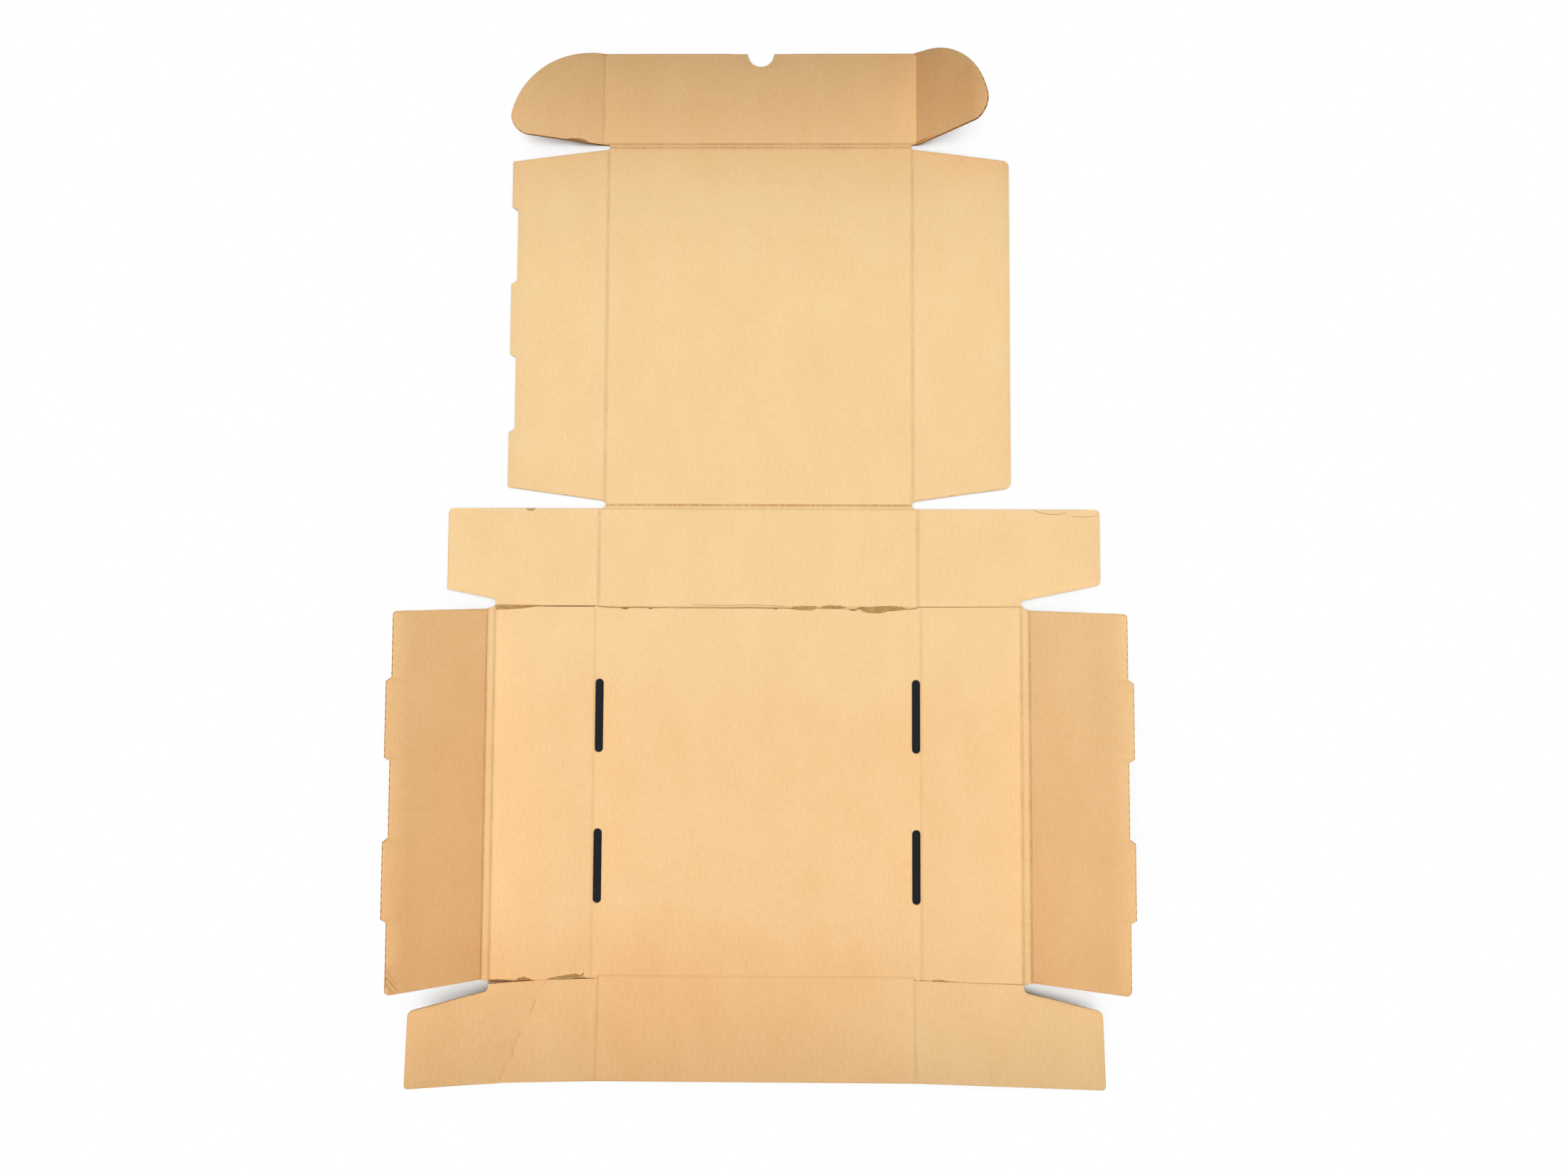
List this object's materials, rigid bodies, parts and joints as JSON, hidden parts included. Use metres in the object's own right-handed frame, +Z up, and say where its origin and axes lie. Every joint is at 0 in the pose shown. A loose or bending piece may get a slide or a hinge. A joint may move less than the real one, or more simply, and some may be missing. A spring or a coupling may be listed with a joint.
{
  "type": "flattened cardboard mailer box",
  "caption": "Die-cut tuck-front mailer box of corrugated board, unfolded and laid flat, with roll-over side walls, dust flaps, an eared tuck flap and locking slots.",
  "frame": {"origin": "middle of the base panel on its underside, halfway between its four creases", "axes": "+X along the flutes to the right, +Y from the base panel towards the lid and its tuck flap, +Z up, out of the face that was inside the box"},
  "size_m": [0.6445, 0.9536, 0.0828],
  "materials": {
    "kraft_board": "matte brown kraft liner with faint washboarding over the flutes"
  },
  "bodies": {
    "root": {"mailer_blank": "kraft_board"}
  },
  "joints": []
}
